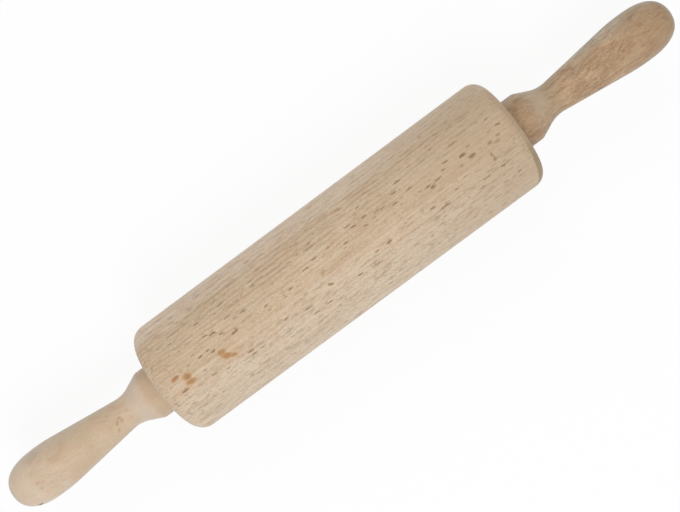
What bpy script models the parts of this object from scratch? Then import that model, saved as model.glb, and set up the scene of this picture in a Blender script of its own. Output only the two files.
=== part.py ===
"""Wooden rolling pin with a turned beech barrel that spins on a steel axle between two handles.

Metres, +Z up. The origin is the middle of the barrel on the pin's axis, and +X runs along the
axis towards the right handle. Every piece is turned: its outline is drawn in radius and height,
spun about its own Z axis by a Screw modifier, and laid along the pin's axis by its parent.
"""

import math

import bmesh
import bpy
from mathutils import Matrix, Vector

# Barrel
BARREL_RADIUS = 0.030
BARREL_LENGTH = 0.212
BARREL_EDGE_ROUND = 0.0075

# Handles, each from its collar at the barrel out to its butt
COLLAR_RADIUS = 0.0134
COLLAR_LENGTH = 0.0088
CONE_LENGTH = 0.0117
NECK_RADIUS = 0.0080
GRIP_LENGTH = 0.0461
SWELL_RADIUS = 0.0135
SWELL_LENGTH = 0.0055
BUTT_LENGTH = 0.0213
BUTT_FULLNESS = 2.6
COLLAR_EDGE_ROUND = 0.0006
SHOULDER_ROUND = 0.0048
NECK_ROUND = 0.0165
SWELL_ROUND = 0.082

# Axle and the holes it is driven into
AXLE_RADIUS = 0.004
AXLE_GRIP = 0.055
AXLE_CHAMFER = 0.0006
AXLE_GROOVES = 4
AXLE_GROOVE_DEPTH = 0.0004
AXLE_GROOVE_WIDTH = 0.0016
AXLE_GROOVE_PITCH = 0.008
HOLE_END_ROOM = 0.001
DRILL_POINT = 0.002

# Bushes in the barrel's ends and the washers that run on them
BUSH_WALL = 0.0022
BUSH_LENGTH = 0.018
BUSH_FLANGE_RADIUS = 0.011
BUSH_FLANGE_THICKNESS = 0.0020
BUSH_EDGE_ROUND = 0.0005
WASHER_RADIUS = 0.009
WASHER_THICKNESS = 0.0010
BORE_CLEARANCE = 0.0015

# Clearances
SEAT_GAP = 0.0003
RUNNING_GAP = 0.0003
END_GAP = 0.0006

# Facets around each turned piece, and how its outline and shading are drawn
BARREL_STEPS = 64
HANDLE_STEPS = 40
SMALL_STEPS = 24
BUTT_STEPS = 12
ARC_TURN = math.radians(13)
ROUND_SHARE = 0.9
SHARP_ANGLE = math.radians(30)
WELD = 0.00001

# Places that follow from the sizes, as distances from the middle of the barrel
BARREL_END = BARREL_LENGTH / 2
COLLAR_FACE = BARREL_END + END_GAP
WASHER_FACE = COLLAR_FACE - RUNNING_GAP - WASHER_THICKNESS
BUSH_FACE = WASHER_FACE - RUNNING_GAP
AXLE_END = COLLAR_FACE + AXLE_GRIP
BUSH_BORE_RADIUS = AXLE_RADIUS + RUNNING_GAP
BUSH_RADIUS = BUSH_BORE_RADIUS + BUSH_WALL


def clear_scene():
    """Remove every object and collection that the file starts with."""
    for obj in list(bpy.data.objects):
        bpy.data.objects.remove(obj, do_unlink=True)
    for collection in list(bpy.data.collections):
        bpy.data.collections.remove(collection)


def make_collection(name):
    collection = bpy.data.collections.new(name)
    bpy.context.scene.collection.children.link(collection)
    return collection


def make_material(name, colour, roughness, metallic=0.0):
    material = bpy.data.materials.new(name)
    material.use_nodes = True
    shader = material.node_tree.nodes["Principled BSDF"]
    shader.inputs["Base Color"].default_value = (*colour, 1.0)
    shader.inputs["Roughness"].default_value = roughness
    shader.inputs["Metallic"].default_value = metallic
    material.diffuse_color = (*colour, 1.0)
    return material


def fillet(before, corner, after, radius, room):
    """Points of the arc that rounds a corner, or the corner itself where it has no round.

    The arc takes no more of its two sides than the shares of them in room.
    """
    if radius == 0:
        return [corner]
    to_before = before - corner
    to_after = after - corner
    turned = math.pi - to_before.angle(to_after)
    tangent = min(radius * math.tan(turned / 2), room[0] * to_before.length, room[1] * to_after.length)
    reach = tangent / math.sin(turned / 2)
    centre = corner + (to_before.normalized() + to_after.normalized()).normalized() * reach
    spoke = corner + to_before.normalized() * tangent - centre
    sweep = math.copysign(turned, to_after.cross(to_before))
    segments = max(2, math.ceil(turned / ARC_TURN))
    return [centre + Matrix.Rotation(sweep * i / segments, 2) @ spoke for i in range(segments + 1)]


def outline(corners, closed):
    """Points (radius, height) of an outline given as corners (radius, height, round)."""
    places = [Vector(corner[:2]) for corner in corners]
    rounds = [corner[2] for corner in corners]
    count = len(corners)
    points = []
    for i, place in enumerate(places):
        after = (i + 1) % count
        if not closed and i in (0, count - 1):
            points.append(place)
            continue
        room = [ROUND_SHARE / 2 if rounds[j] else ROUND_SHARE for j in (i - 1, after)]
        points += fillet(places[i - 1], place, places[after], rounds[i], room)
    return points


def turn(name, points, closed, steps, material, collection, parent, place=0.0, flipped=False):
    """Spin an outline into one named solid and lay it on the pin's axis.

    The outline runs down the outer side, top to bottom. A closed outline makes a ring, and an
    open one starts and ends on the axis. The facets are turned half a step, so that one lies
    square underneath. A flipped piece has its top towards the left handle.
    """
    drawing = bmesh.new()
    verts = [drawing.verts.new((radius, 0.0, height)) for radius, height in points]
    last = len(verts) if closed else len(verts) - 1
    for i in range(last):
        drawing.edges.new((verts[i], verts[(i + 1) % len(verts)]))
    mesh = bpy.data.meshes.new(name)
    drawing.to_mesh(mesh)
    drawing.free()

    obj = bpy.data.objects.new(name, mesh)
    collection.objects.link(obj)
    screw = obj.modifiers.new("turned", "SCREW")
    screw.axis = "Z"
    screw.angle = 2 * math.pi
    screw.steps = steps
    screw.render_steps = steps
    screw.use_merge_vertices = True
    screw.merge_threshold = WELD

    graph = bpy.context.evaluated_depsgraph_get()
    solid = bpy.data.meshes.new_from_object(obj.evaluated_get(graph))
    obj.modifiers.clear()
    obj.data = solid
    bpy.data.meshes.remove(mesh)
    solid.name = name
    solid.shade_smooth()
    solid.set_sharp_from_angle(angle=SHARP_ANGLE)
    solid.materials.append(material)

    obj.parent = parent
    obj.rotation_mode = "ZYX"
    obj.rotation_euler = (math.pi if flipped else 0.0, 0.0, math.pi / steps)
    obj.location = (0.0, 0.0, -place if flipped else place)
    return obj


def barrel_outline():
    """The plain cylinder with rounded ends, its bore, and a stepped seat for a bush at each end."""
    seat_radius = BUSH_RADIUS + SEAT_GAP
    seat_floor = BUSH_FACE - BUSH_LENGTH - SEAT_GAP
    flange_radius = BUSH_FLANGE_RADIUS + SEAT_GAP
    flange_floor = BUSH_FACE - BUSH_FLANGE_THICKNESS - SEAT_GAP
    bore_radius = AXLE_RADIUS + BORE_CLEARANCE
    top = [
        (bore_radius, seat_floor, 0),
        (seat_radius, seat_floor, 0),
        (seat_radius, flange_floor, 0),
        (flange_radius, flange_floor, 0),
        (flange_radius, BARREL_END, 0),
        (BARREL_RADIUS, BARREL_END, BARREL_EDGE_ROUND),
    ]
    bottom = [(radius, -height, corner_round) for radius, height, corner_round in reversed(top)]
    return outline(top + bottom, closed=True)


def axle_end_grooves():
    """The rings cut in one end of the axle, which hold it in the handle, from the outermost in."""
    first = AXLE_END - AXLE_GROOVE_PITCH
    corners = []
    for i in range(AXLE_GROOVES):
        middle = first - i * AXLE_GROOVE_PITCH
        corners += [
            (AXLE_RADIUS, middle + AXLE_GROOVE_WIDTH / 2, 0),
            (AXLE_RADIUS - AXLE_GROOVE_DEPTH, middle, 0),
            (AXLE_RADIUS, middle - AXLE_GROOVE_WIDTH / 2, 0),
        ]
    return corners


def axle_outline():
    """The steel rod, with chamfered tips and its gripping rings."""
    top = [
        (0.0, AXLE_END, 0),
        (AXLE_RADIUS - AXLE_CHAMFER, AXLE_END, 0),
        (AXLE_RADIUS, AXLE_END - AXLE_CHAMFER, 0),
    ]
    top += axle_end_grooves()
    bottom = [(radius, -height, corner_round) for radius, height, corner_round in reversed(top)]
    return outline(top + bottom, closed=False)


def bush_outline():
    """The flanged sleeve: height 0 is the flange's outer face, and the sleeve hangs below it."""
    return outline(
        [
            (BUSH_BORE_RADIUS, 0.0, 0),
            (BUSH_FLANGE_RADIUS, 0.0, BUSH_EDGE_ROUND),
            (BUSH_FLANGE_RADIUS, -BUSH_FLANGE_THICKNESS, 0),
            (BUSH_RADIUS, -BUSH_FLANGE_THICKNESS, 0),
            (BUSH_RADIUS, -BUSH_LENGTH, BUSH_EDGE_ROUND),
            (BUSH_BORE_RADIUS, -BUSH_LENGTH, 0),
        ],
        closed=True,
    )


def washer_outline():
    """A flat ring: height 0 is its face towards the bush."""
    return outline(
        [
            (AXLE_RADIUS + RUNNING_GAP, WASHER_THICKNESS, 0),
            (WASHER_RADIUS, WASHER_THICKNESS, 0),
            (WASHER_RADIUS, 0.0, 0),
            (AXLE_RADIUS + RUNNING_GAP, 0.0, 0),
        ],
        closed=True,
    )


def handle_outline():
    """The handle: height 0 is the collar's face at the barrel, and the butt is the top.

    The butt is a superellipse. Below it come the swell, the tapering grip, the neck, the cone
    and the collar, then the blind hole that the axle is driven into.
    """
    cone_top = COLLAR_LENGTH + CONE_LENGTH
    grip_top = cone_top + GRIP_LENGTH
    swell_top = grip_top + SWELL_LENGTH
    hole_radius = AXLE_RADIUS + SEAT_GAP
    hole_floor = AXLE_GRIP + HOLE_END_ROOM
    butt = []
    for i in range(BUTT_STEPS):
        angle = math.pi / 2 * i / BUTT_STEPS
        radius = SWELL_RADIUS * math.sin(angle) ** (2 / BUTT_FULLNESS)
        height = swell_top + BUTT_LENGTH * math.cos(angle) ** (2 / BUTT_FULLNESS)
        butt.append((radius, height))
    body = outline(
        [
            (SWELL_RADIUS, swell_top, 0),
            (SWELL_RADIUS, grip_top, SWELL_ROUND),
            (NECK_RADIUS, cone_top, NECK_ROUND),
            (COLLAR_RADIUS, COLLAR_LENGTH, SHOULDER_ROUND),
            (COLLAR_RADIUS, 0.0, COLLAR_EDGE_ROUND),
            (hole_radius, 0.0, 0),
            (hole_radius, hole_floor, 0),
            (0.0, hole_floor + DRILL_POINT, 0),
        ],
        closed=False,
    )
    return butt + body


def main():
    clear_scene()
    pieces = make_collection("rolling_pin")

    barrel_beech = make_material("barrel_beech", (0.58, 0.43, 0.29), 0.55)
    pale_beech = make_material("pale_beech", (0.60, 0.46, 0.32), 0.50)
    red_beech = make_material("red_beech", (0.42, 0.28, 0.175), 0.50)
    bright_steel = make_material("bright_steel", (0.56, 0.56, 0.57), 0.30, metallic=1.0)
    zinc_steel = make_material("zinc_steel", (0.62, 0.63, 0.65), 0.38, metallic=1.0)
    white_nylon = make_material("white_nylon", (0.80, 0.79, 0.75), 0.45)

    # This empty's Z axis lies along +X. It carries the axle, the washers and both handles.
    pin_axis = bpy.data.objects.new("pin_axis", None)
    pin_axis.rotation_euler = (0.0, math.pi / 2, 0.0)
    pieces.objects.link(pin_axis)

    # The barrel and its bushes spin together about the same line, on this empty's Z axis.
    barrel_axis = bpy.data.objects.new("barrel_axis", None)
    barrel_axis.parent = pin_axis
    pieces.objects.link(barrel_axis)

    turn("barrel", barrel_outline(), True, BARREL_STEPS, barrel_beech, pieces, barrel_axis)
    turn("axle_rod", axle_outline(), False, SMALL_STEPS, bright_steel, pieces, pin_axis)

    for side, flipped, wood in (("left", True, pale_beech), ("right", False, red_beech)):
        turn(
            f"{side}_bush", bush_outline(), True, SMALL_STEPS,
            white_nylon, pieces, barrel_axis, BUSH_FACE, flipped,
        )
        turn(
            f"{side}_washer", washer_outline(), True, SMALL_STEPS,
            zinc_steel, pieces, pin_axis, WASHER_FACE, flipped,
        )
        turn(
            f"{side}_handle", handle_outline(), False, HANDLE_STEPS,
            wood, pieces, pin_axis, COLLAR_FACE, flipped,
        )


main()
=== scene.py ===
"""Looks of a beech rolling pin: its turned skins, its woods and metals, the studio and the camera.

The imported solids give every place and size. Each wooden piece gets a finer skin, spun from its
outline by one Geometry Nodes tree, and a wood that is worked out as a volume: growth rings and
rays about the heart of the tree that the piece was sawn from. The axle, bushes and washers keep
their solids and get their own finishes.
"""

import functools
import logging
import math
from collections.abc import Callable, Mapping, Sequence
from dataclasses import dataclass
from enum import Enum

import bpy
from mathutils import Matrix, Vector


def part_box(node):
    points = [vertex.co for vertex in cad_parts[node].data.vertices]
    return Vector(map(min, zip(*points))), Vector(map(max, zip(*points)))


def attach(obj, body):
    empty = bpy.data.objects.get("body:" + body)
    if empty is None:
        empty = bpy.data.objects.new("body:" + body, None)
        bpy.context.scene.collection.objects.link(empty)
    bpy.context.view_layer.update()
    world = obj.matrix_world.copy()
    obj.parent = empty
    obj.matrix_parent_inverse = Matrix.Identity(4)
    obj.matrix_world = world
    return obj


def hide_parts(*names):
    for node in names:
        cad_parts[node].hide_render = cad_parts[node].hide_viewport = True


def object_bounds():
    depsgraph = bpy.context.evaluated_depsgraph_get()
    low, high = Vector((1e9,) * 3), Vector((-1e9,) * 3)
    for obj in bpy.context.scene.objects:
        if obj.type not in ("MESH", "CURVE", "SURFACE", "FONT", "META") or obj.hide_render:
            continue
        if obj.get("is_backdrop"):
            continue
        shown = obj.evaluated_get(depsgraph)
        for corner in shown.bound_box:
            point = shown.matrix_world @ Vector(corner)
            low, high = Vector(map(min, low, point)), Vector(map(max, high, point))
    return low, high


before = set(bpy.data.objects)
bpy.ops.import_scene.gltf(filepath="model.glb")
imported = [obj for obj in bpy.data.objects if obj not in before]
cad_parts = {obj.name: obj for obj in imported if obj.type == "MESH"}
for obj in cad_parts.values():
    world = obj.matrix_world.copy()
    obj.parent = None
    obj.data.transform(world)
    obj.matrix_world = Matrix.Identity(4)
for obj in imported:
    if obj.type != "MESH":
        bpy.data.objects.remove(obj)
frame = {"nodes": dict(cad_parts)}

LOG = logging.getLogger("rolling_pin")

Colour = tuple[float, float, float]
Triple = tuple[float, float, float]
Point = tuple[float, float]
Socket = bpy.types.NodeSocket

WHITE: Colour = (1.0, 1.0, 1.0)
MM_PER_METRE = 1000.0


class End(Enum):
    """The two ends of the pin, by the sign of their place along it."""

    LEFT = -1
    RIGHT = 1


class Tint(Enum):
    """The colours of the single marks that stand out from the grain, and of one painted highlight.
    """

    HAZE = (0.57, 0.37, 0.19)
    PALE = (0.72, 0.60, 0.47)
    AMBER = (0.37, 0.18, 0.056)
    RUSSET = (0.27, 0.155, 0.068)
    UMBER = (0.235, 0.145, 0.066)
    CHAR = (0.055, 0.042, 0.032)


class Bench:
    """Builds one node tree, node by node."""

    def __init__(self, tree: bpy.types.NodeTree) -> None:
        """Start on an empty tree.

        Args:
            tree: The tree to build in. Its nodes are cleared.
        """
        self.tree = tree
        tree.nodes.clear()

    def node(
        self, kind: str, inputs: Mapping[str | int, object] | None = None, **settings: object
    ) -> bpy.types.Node:
        """Add a node, set it up and feed its sockets.

        Args:
            kind: The node's type.
            inputs: What its inputs get, by number, identifier or shown name.
            settings: Its own properties, which are set first.

        Returns:
            The new node.
        """
        made = self.tree.nodes.new(kind)
        for name, value in settings.items():
            setattr(made, name, value)
        for name, value in (inputs or {}).items():
            self.feed(self.socket_of(made, name), value)
        return made

    @staticmethod
    def socket_of(node: bpy.types.Node, name: str | int) -> Socket:
        """Find an input of a node.

        Args:
            node: The node.
            name: The input's number, identifier or shown name.

        Returns:
            The input.
        """
        if isinstance(name, int):
            return node.inputs[name]
        for socket in node.inputs:
            if socket.identifier == name:
                return socket
        return next(socket for socket in node.inputs if socket.name == name and socket.enabled)

    def feed(self, socket: Socket, value: object) -> None:
        """Give an input its value.

        Args:
            socket: The input.
            value: A term, a socket or a node, which is linked, or a plain value, which is set.
        """
        if isinstance(value, Term):
            value = value.socket
        if isinstance(value, bpy.types.Node):
            value = value.outputs[0]
        if isinstance(value, Socket):
            self.tree.links.new(value, socket)
        elif socket.type == "RGBA" and len(value) == 3:
            socket.default_value = (*value, 1.0)
        else:
            socket.default_value = value

    def number(
        self, kind: str, inputs: Mapping[str | int, object] | None = None, **settings: object
    ) -> "Term":
        """Add a node whose first output is a number, and wrap that for arithmetic."""
        return Term(self, self.node(kind, inputs, **settings).outputs[0])

    def maths(self, operation: str, *values: object) -> "Term":
        """Work on numbers, in the order that the Math node takes them."""
        return self.number("ShaderNodeMath", dict(enumerate(values)), operation=operation)

    def vector(self, operation: str, *values: object) -> Socket:
        """Work on vectors, in the order that the Vector Math node takes them."""
        made = self.node("ShaderNodeVectorMath", dict(enumerate(values)), operation=operation)
        return made.outputs["Vector"]

    def length(self, vector: object) -> "Term":
        """Length of a vector."""
        made = self.node("ShaderNodeVectorMath", {0: vector}, operation="LENGTH")
        return Term(self, made.outputs["Value"])

    def parts(self, vector: object) -> tuple["Term", ...]:
        """Split a vector into its three numbers."""
        split = self.node("ShaderNodeSeparateXYZ", {"Vector": vector})
        return tuple(Term(self, part) for part in split.outputs)

    def mix(self, share: object, first: object, second: object, blend: str = "MIX") -> Socket:
        """Mix two colours.

        Args:
            share: How much of the second colour shows.
            first: The colour underneath.
            second: The colour on top.
            blend: The way that they blend.

        Returns:
            The mixed colour.
        """
        inputs = {"Factor_Float": share, "A_Color": first, "B_Color": second}
        made = self.node("ShaderNodeMix", inputs, data_type="RGBA", blend_type=blend)
        return next(socket for socket in made.outputs if socket.identifier == "Result_Color")

    def noise(
        self, place: object, scale: Triple, detail: float = 2.0, roughness: float = 0.5
    ) -> "Term":
        """Smooth noise between 0 and 1.

        Args:
            place: Where it is read.
            scale: How many features there are to a metre, on each axis.
            detail: How many finer layers are added.
            roughness: How strong they are.

        Returns:
            The noise.
        """
        scaled = self.vector("MULTIPLY", place, scale)
        inputs = {"Vector": scaled, "Scale": 1.0, "Detail": detail, "Roughness": roughness}
        return self.number("ShaderNodeTexNoise", inputs)


def sign(operation: str, swapped: bool = False) -> Callable[..., "Term"]:
    """Make the method behind one sign of arithmetic.

    Args:
        operation: The Math operation.
        swapped: Whether the other number comes first.

    Returns:
        The method.
    """

    def method(term: "Term", *others: object) -> "Term":
        """Work on the term and the others."""
        values = (*others, term) if swapped else (term, *others)
        return term.bench.maths(operation, *values)

    return method


@dataclass(frozen=True)
class Term:
    """A number in a node tree that can stand in Python arithmetic."""

    bench: Bench
    socket: Socket

    __add__ = sign("ADD")
    __radd__ = sign("ADD", swapped=True)
    __sub__ = sign("SUBTRACT")
    __rsub__ = sign("SUBTRACT", swapped=True)
    __mul__ = sign("MULTIPLY")
    __truediv__ = sign("DIVIDE")
    __mod__ = sign("MODULO")
    __pow__ = sign("POWER")
    __abs__ = sign("ABSOLUTE")
    __floor__ = sign("FLOOR")
    most = sign("MAXIMUM")
    times_plus = sign("MULTIPLY_ADD")

    def rise(self, start: float, stop: float, top: float = 1.0) -> "Term":
        """Rise smoothly from 0 to the top.

        Args:
            start: Where it leaves 0.
            stop: Where it reaches the top.
            top: How high that is.

        Returns:
            The eased step, falling where stop is less than start.
        """
        low, high = sorted((start, stop))
        first, last = (0.0, top) if start < stop else (top, 0.0)
        inputs = {"Value": self, "From Min": low, "From Max": high, "To Min": first, "To Max": last}
        return self.bench.number("ShaderNodeMapRange", inputs, interpolation_type="SMOOTHSTEP")


Place = tuple[Term, Term, Term]


def new_material(name: str) -> tuple[bpy.types.Material, Bench]:
    """Make an empty material.

    Args:
        name: The material's name.

    Returns:
        The material and a bench on its tree.
    """
    material = bpy.data.materials.new(name)
    material.use_nodes = True
    return material, Bench(material.node_tree)


def finish_surface(bench: Bench, inputs: Mapping[str, object], height: Term, depth: float) -> None:
    """Close a material with a Principled shader and a bump.

    Args:
        bench: The bench on the material's tree.
        inputs: The shader's inputs.
        height: The relief, 0 to 1.
        depth: How deep that relief is, in metres.
    """
    bump = bench.node("ShaderNodeBump", {"Strength": 1.0, "Distance": depth, "Height": height})
    shader = bench.node("ShaderNodeBsdfPrincipled", {**inputs, "Normal": bump})
    bench.node("ShaderNodeOutputMaterial", {"Surface": shader})


# The woods: how the tree grew, how a piece lay in it, and the marks on the turned surface


@dataclass(frozen=True)
class Rays:
    """One set of wood rays, which the surface cuts as short dark flecks.

    The three numbers of spacing and of half_size run along the grain, round the rings and out
    from the heart, in metres. rarity is the share of the rays that stay hidden, and fade the
    share over which the others gain strength. shift moves the set, in spacings, and jitter is how
    far its rays stray from rows. sizes are the smallest ray and what the largest has more, as
    shares of half_size, and edge is where a fleck comes in and where it is full, 1 being its
    outline.
    """

    spacing: Triple
    half_size: Triple
    strength: float
    rarity: float
    shift: float
    fade: float = 0.5
    jitter: float = 0.85
    sizes: Point = (0.65, 0.6)
    edge: Point = (1.0, 0.5)

    def flecks(self, bench: Bench, wood: object) -> Term:
        """Build the flecks.

        Args:
            bench: The bench to build on.
            wood: The place in the wood, along the grain, round the rings and out from the heart.

        Returns:
            How much of a fleck there is, 0 to 1.
        """
        packed = tuple(1.0 / gap for gap in self.spacing)
        cell = bench.vector("MULTIPLY_ADD", wood, packed, (self.shift,) * 3)
        inputs = {"Vector": cell, "Scale": 1.0, "Randomness": self.jitter}
        cells = bench.node("ShaderNodeTexVoronoi", inputs, feature="F1").outputs
        away = bench.vector("SUBTRACT", cell, cells["Position"])
        stretch = tuple(gap / half for gap, half in zip(self.spacing, self.half_size))
        reach = bench.length(bench.vector("MULTIPLY", away, stretch))
        chance = bench.node("ShaderNodeSeparateColor", {"Color": cells["Color"]})
        keep, size = (Term(bench, chance.outputs[i]) for i in (0, 1))
        kept = keep.rise(self.rarity, self.rarity + self.fade) * self.strength
        return (reach / (self.sizes[0] + size * self.sizes[1])).rise(*self.edge) * kept


@dataclass(frozen=True)
class Mark:
    """A single spot or fleck at a chosen place on a turned piece.

    Its place along the pin, its length and its width are in millimetres. around is its turn from
    the top towards the front and tilt its slant across the grain, both in degrees. radius is that
    of the piece there, in metres. edge is where it comes in and where it is full, as squares of
    the distance from its middle, 1 being its outline.
    """

    tint: Tint
    along: float
    around: float
    length: float
    width: float
    tilt: float = 0.0
    strength: float = 1.0
    radius: float = 0.030
    edge: Point = (1.15, 0.25)

    def shape(self, along: Term, turn: Term) -> Term:
        """Build the mark, on plain numbers, since a vector for each mark fills the shader's stack.

        Args:
            along: The place along the pin, in millimetres.
            turn: The turn from the top towards the front, in radians.

        Returns:
            How much of the mark there is, 0 to its strength.
        """
        girth = self.radius * MM_PER_METRE
        arc = math.radians(self.around) * girth
        cosine, sine = math.cos(math.radians(self.tilt)), math.sin(math.radians(self.tilt))
        axes = ((cosine, -sine, self.length / 2), (sine, cosine, self.width / 2))
        spread: Term | float = 0.0
        for on, across, half in axes:
            middle = self.along * on + arc * across
            reach = along.times_plus(on / half, -middle / half)
            if across:
                reach = turn.times_plus(across * girth / half, reach)
            spread = reach.times_plus(reach, spread)
        return spread.rise(*self.edge, self.strength)


@dataclass(frozen=True)
class Band:
    """A stretch of a piece, between two places along the pin, that has another tone.

    soft is half the width of its edges. slant is how far it moves along the pin for each metre
    towards +Y. back is the span of places towards +Y over which it comes in, for a band that lies
    on that side only.
    """

    start: float
    stop: float
    soft: float
    colour: Colour
    strength: float
    slant: float = 0.0
    back: Point | None = None

    def share(self, place: Place) -> Term:
        """Build the band.

        Args:
            place: The place along the pin, sideways and up.

        Returns:
            How much of the band there is, 0 to its strength.
        """
        low, high = sorted((self.start, self.stop))
        along = place[0] - place[1] * self.slant
        begun = along.rise(low - self.soft, low + self.soft)
        inside = begun * along.rise(high + self.soft, high - self.soft)
        if self.back:
            inside = inside * place[1].rise(*self.back)
        return inside * self.strength


@dataclass(frozen=True)
class EndCutShade:
    """The last cut at one end of the barrel, which leaves a rim a little out of square, with
    painted shade.

    start is how far out it begins level with the axis, and skew how much farther for each metre
    of height. Its wood is tan on top and turns dull over front_turn, a span of places towards -Y,
    as painted shade where the end's rounding turns away from the light.
    It comes in over back_fade and low_fade, spans of places towards +Y and up, and over edge, a
    span along the pin. share is how strongly it shows, and rim how strongly the dark line does
    that lies within line_in and line_out of its edge. wear is the span of noise over which that
    line is whole.
    """

    end: End
    start: float
    skew: float
    top: Colour
    front: Colour
    share: float
    rim: float
    front_turn: Point = (-0.006, -0.018)
    back_fade: Point = (0.024, 0.004)
    low_fade: Point = (-0.008, 0.007)
    edge: Point = (-0.0003, 0.0006)
    line_in: Point = (-0.0004, 0.0)
    line_out: Point = (0.0005, 0.0001)
    wear: Point = (0.42, 0.60)

    def tint(self, bench: Bench, place: Place, worn: Term, wood: object) -> Socket:
        """Colour the cut, with its painted shade.

        Args:
            bench: The bench to build on.
            place: The place along the pin, sideways and up.
            worn: Noise that breaks the dark line.
            wood: The colour of the wood so far.

        Returns:
            The colour with the cut.
        """
        along, side, up = place
        past = along * self.end.value - up * self.skew - self.start
        # Tan on top, turning to painted shade at the front.
        tone = bench.mix(side.rise(*self.front_turn), self.top, self.front)
        fade = side.rise(*self.back_fade) * up.rise(*self.low_fade, self.share)
        cut = bench.mix(past.rise(*self.edge) * fade, wood, tone)
        line = past.rise(*self.line_in) * past.rise(*self.line_out) * worn.rise(*self.wear)
        return bench.mix(line * fade * self.rim, cut, Tint.UMBER.value)


@dataclass(frozen=True)
class Trunk:
    """How a piece lay in the tree that it was sawn from.

    heart is the place of the tree's heart in the plane across the pin, (y, z). It lies on the
    +Y side, outside the piece. lean is how far the grain strays sideways per metre. sway is how
    far its long waves reach, sideways and up, and ripple how far its short ones do, in metres.
    least_spoke keeps a division sound on the pin's axis.
    """

    heart: Point
    lean: float
    ripple: float
    sway: Point = (0.0022, 0.0016)
    sway_scale: Triple = (14.0, 9.0, 9.0)
    ripple_scale: Triple = (75.0, 40.0, 40.0)
    least_spoke: float = 0.001

    def locate(self, bench: Bench, point: object, place: Place) -> tuple[Term, Term, Socket]:
        """Find the place in the wood.

        Args:
            bench: The bench to build on.
            point: The place on the piece, as a vector.
            place: The same, as its three numbers.

        Returns:
            The distance from the heart, how nearly flat-sawn the surface is there, and the vector
            of the place along the grain, round the rings and out from the heart.
        """
        along, side, up = place
        sway = bench.noise(point, self.sway_scale, 1.0) - 0.5
        wave = bench.noise(point, self.ripple_scale, 1.0) - 0.5
        ripple = wave * (2.0 * self.ripple)
        gap_side = self.heart[0] - side + along * self.lean + sway * self.sway[0] + ripple
        gap_up = self.heart[1] - up + sway * self.sway[1] - ripple
        out = (gap_side * gap_side + gap_up * gap_up) ** 0.5
        around = bench.maths("ARCTAN2", gap_up, gap_side) * math.hypot(*self.heart)
        spoke = ((side * side + up * up) ** 0.5).most(self.least_spoke)
        flat = abs(side * gap_side + up * gap_up) / (out * spoke)
        wood = bench.node("ShaderNodeCombineXYZ", {"X": along, "Y": around, "Z": out})
        return out, flat, wood.outputs[0]


@dataclass(frozen=True)
class Grain:
    """How strongly each layer of the grain darkens the wood, and how fine it is.

    Threads run along the grain, blotches are broad, fibres are the finest streaks, and dashes the
    small vessels. A scale counts features to a metre, along the grain, round the rings and out
    from the heart. ring_gap is the width of a growth ring, in metres, and ring_drift how many
    rings it wanders. A ring darkens over ring_rise and pales over ring_fall, shares of its width.
    It grows stronger over ring_age, a span counted from the heart's distance, and is whole over
    ring_breaks, a span of noise. A vessel shows over dash_cut, a span of noise, and more so over
    dash_flat, a span of how nearly flat-sawn the surface is.
    """

    thread: float
    blotch: float
    dash: float
    fibre: float
    ring: float
    thread_scale: Triple = (60.0, 560.0, 560.0)
    blotch_scale: Triple = (40.0, 110.0, 110.0)
    dash_scale: Triple = (190.0, 820.0, 820.0)
    fibre_scale: Triple = (1100.0, 1700.0, 1500.0)
    drift_scale: Triple = (9.0, 30.0, 25.0)
    break_scale: Triple = (85.0, 210.0, 330.0)
    ring_gap: float = 0.0022
    ring_drift: float = 3.5
    ring_rise: Point = (0.30, 0.80)
    ring_fall: Point = (1.0, 0.82)
    ring_age: Point = (0.004, -0.012)
    ring_breaks: Point = (0.36, 0.60)
    dash_cut: Point = (0.54, 0.72)
    dash_flat: Point = (0.05, 0.4)

    def rings(self, bench: Bench, wood: object, out: Term, heart: float) -> Term:
        """Build the growth rings.

        Args:
            bench: The bench to build on.
            wood: The place in the wood.
            out: The distance from the heart.
            heart: How far the heart lies towards +Y.

        Returns:
            How dark they are, 0 between two rings and about 1 in the middle of one.
        """
        drift = bench.noise(wood, self.drift_scale, 1.0)
        cycle = bench.maths("FRACT", out / self.ring_gap + drift * self.ring_drift)
        late = cycle.rise(*self.ring_rise) * cycle.rise(*self.ring_fall)
        old = out.rise(*(heart + reach for reach in self.ring_age))
        whole = bench.noise(wood, self.break_scale, 1.0).rise(*self.ring_breaks)
        return late * (0.7 + old * 0.7) * (0.3 + whole)

    def vessels(self, bench: Bench, wood: object, flat: Term) -> Term:
        """Build the vessels.

        Args:
            bench: The bench to build on.
            wood: The place in the wood.
            flat: How nearly flat-sawn the surface is.

        Returns:
            How much of a vessel there is, 0 to 1.
        """
        dashes = bench.noise(wood, self.dash_scale, 1.0)
        return dashes.rise(*self.dash_cut) * (0.3 + flat.rise(*self.dash_flat) * 0.7)


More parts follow.
